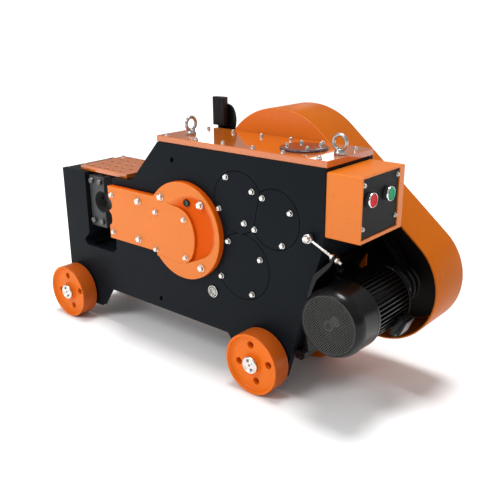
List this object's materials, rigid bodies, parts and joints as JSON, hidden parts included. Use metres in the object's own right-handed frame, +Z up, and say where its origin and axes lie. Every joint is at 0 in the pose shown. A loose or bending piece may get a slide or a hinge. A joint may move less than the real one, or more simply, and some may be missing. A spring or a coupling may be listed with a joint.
{
  "type": "rebar cutter",
  "caption": "Wheeled electric rebar cutter: gear-driven crank pushes a knife past a fixed knife in a steel plate housing, with a side motor and belt-driven flywheel.",
  "frame": {"origin": "middle of the bounding box in plan, on the ground plane under the wheels", "axes": "+X along the machine from the cutting mouth to the motor, +Y from the operator side with the round covers to the belt guard, +Z up"},
  "size_m": [1.1524, 0.4026, 0.668],
  "materials": {
    "slate_paint": "satin blue-black paint",
    "orange_paint": "glossy orange paint",
    "zinc_plate": "bright zinc plate",
    "black_paint": "semi-matte black paint",
    "machined_steel": "machined and oiled",
    "cast_iron": "dark cast iron",
    "tool_steel": "ground tool steel",
    "rubber": "black rubber",
    "black_plastic": "fine-grained matte plastic",
    "red_plastic": "glossy red",
    "green_plastic": "glossy green",
    "sight_glass": "clear oil sight glass"
  },
  "bodies": {
    "housing": {"front_plate": "slate_paint", "rear_plate": "slate_paint", "housing_wrap": "slate_paint", "shoulder_plate": "slate_paint", "cutting_block": "slate_paint", "top_cover": "orange_paint", "inspection_cover": "slate_paint", "eye_bolt_left": "zinc_plate", "eye_bolt_right": "zinc_plate", "perforated_guard": "orange_paint", "slider_cover": "orange_paint", "crank_cover": "orange_paint", "oil_filler_plug": "zinc_plate", "bearing_cover_input": "slate_paint", "bearing_cover_second": "slate_paint", "bearing_cover_third": "slate_paint", "sight_glass": "sight_glass", "fixed_blade_seat": "cast_iron", "fixed_blade": "tool_steel", "base_hinge_bracket": "black_paint", "tension_pivot_bolt": "zinc_plate", "v_belt_inner": "rubber", "v_belt_outer": "rubber", "belt_guard_front": "orange_paint", "belt_guard_shell": "orange_paint", "control_box": "orange_paint", "control_panel": "black_plastic", "axle_left": "zinc_plate", "axle_right": "zinc_plate", "lever_quadrant": "black_paint"},
    "knife_slider": {"slider": "machined_steel", "moving_blade": "tool_steel"},
    "rod": {"connecting_rod": "machined_steel"},
    "crank": {"crankshaft": "machined_steel", "crank_gear": "machined_steel"},
    "third": {"third_shaft": "machined_steel", "third_gear": "machined_steel"},
    "second": {"second_shaft": "machined_steel", "second_gear": "machined_steel"},
    "flywheel": {"input_shaft": "machined_steel", "flywheel_pulley": "cast_iron"},
    "motor": {"motor_base": "black_paint", "motor_body": "black_paint", "motor_end_shield": "black_paint", "fan_cowl": "black_paint", "terminal_box": "black_paint"},
    "rotor": {"motor_shaft": "machined_steel", "motor_fan": "black_plastic", "motor_pulley": "cast_iron"},
    "tension_bolt": {"tension_eyebolt": "zinc_plate"},
    "tension_nuts": {"tension_nut_inner": "zinc_plate", "tension_nut_outer": "zinc_plate"},
    "red_button": {"red_button": "red_plastic"},
    "green_button": {"green_button": "green_plastic"},
    "wheel_front_left": {"wheel_front_left": "orange_paint"},
    "wheel_front_right": {"wheel_front_right": "orange_paint"},
    "wheel_rear_left": {"wheel_rear_left": "orange_paint"},
    "wheel_rear_right": {"wheel_rear_right": "orange_paint"},
    "lever": {"hand_lever": "black_paint", "lever_grip": "rubber"}
  },
  "joints": [
    {"name": "wheel_front_left_roll", "type": "hinge", "parent": "housing", "child": "wheel_front_left", "pos_m": [-0.49725, -0.17075, 0.079], "axis": [0, 1, 0], "continuous": true},
    {"name": "wheel_front_right_roll", "type": "hinge", "parent": "housing", "child": "wheel_front_right", "pos_m": [0.23075, -0.17075, 0.079], "axis": [0, 1, 0], "continuous": true},
    {"name": "wheel_rear_left_roll", "type": "hinge", "parent": "housing", "child": "wheel_rear_left", "pos_m": [-0.49725, 0.08425, 0.079], "axis": [0, 1, 0], "continuous": true},
    {"name": "wheel_rear_right_roll", "type": "hinge", "parent": "housing", "child": "wheel_rear_right", "pos_m": [0.23075, 0.08425, 0.079], "axis": [0, 1, 0], "continuous": true},
    {"name": "flywheel_turn", "type": "hinge", "parent": "housing", "child": "flywheel", "pos_m": [0.14641, 0.10125, 0.45717], "axis": [0, 1, 0], "continuous": true},
    {"name": "second_turn", "type": "hinge", "parent": "housing", "child": "second", "pos_m": [0.25666, -0.03875, 0.4348], "axis": [0, 1, 0], "continuous": true},
    {"name": "third_turn", "type": "hinge", "parent": "housing", "child": "third", "pos_m": [0.15932, -0.03875, 0.29788], "axis": [0, 1, 0], "continuous": true},
    {"name": "crank_turn", "type": "hinge", "parent": "housing", "child": "crank", "pos_m": [-0.02685, -0.03875, 0.3559], "axis": [0, 1, 0], "continuous": true},
    {"name": "rotor_turn", "type": "hinge", "parent": "motor", "child": "rotor", "pos_m": [0.45175, -0.03875, 0.249], "axis": [0, 1, 0], "continuous": true},
    {"name": "knife_stroke", "type": "slide", "parent": "housing", "child": "knife_slider", "axis": [-1, 0, 0], "range_m": [0, 0.044]},
    {"name": "rod_swing", "type": "hinge", "parent": "knife_slider", "child": "rod", "pos_m": [-0.16485, -0.07975, 0.3559], "axis": [0, 1, 0], "range_deg": [-8, 8]},
    {"name": "motor_tilt", "type": "hinge", "parent": "housing", "child": "motor", "pos_m": [0.33675, -0.04275, 0.113], "axis": [0, -1, 0], "range_deg": [0, 1]},
    {"name": "tension_bolt_swing", "type": "hinge", "parent": "housing", "child": "tension_bolt", "pos_m": [0.36075, -0.14975, 0.415], "axis": [0, -1, 0], "range_deg": [0, 60]},
    {"name": "tension_nuts_travel", "type": "slide", "parent": "tension_bolt", "child": "tension_nuts", "axis": [-0.909, 0, 0.4169], "range_m": [0, 0.0052]},
    {"name": "red_button_press", "type": "slide", "parent": "housing", "child": "red_button", "axis": [-1, 0, 0], "range_m": [0, 0.0035], "stiffness_N_per_m": 600},
    {"name": "green_button_press", "type": "slide", "parent": "housing", "child": "green_button", "axis": [-1, 0, 0], "range_m": [0, 0.0035], "stiffness_N_per_m": 600},
    {"name": "lever_swing", "type": "hinge", "parent": "housing", "child": "lever", "pos_m": [-0.09425, 0.07025, 0.556], "axis": [0, 1, 0], "range_deg": [0, 30]}
  ],
  "couplings": [
    {"joint": "second_turn", "follows": "flywheel_turn", "ratio": -0.32353},
    {"joint": "third_turn", "follows": "flywheel_turn", "ratio": 0.15325},
    {"joint": "crank_turn", "follows": "flywheel_turn", "ratio": -0.073142},
    {"joint": "rotor_turn", "follows": "flywheel_turn", "ratio": 3.5301},
    {"joint": "tension_nuts_travel", "follows": "motor_tilt", "m_per_rad": 0.28451}
  ]
}
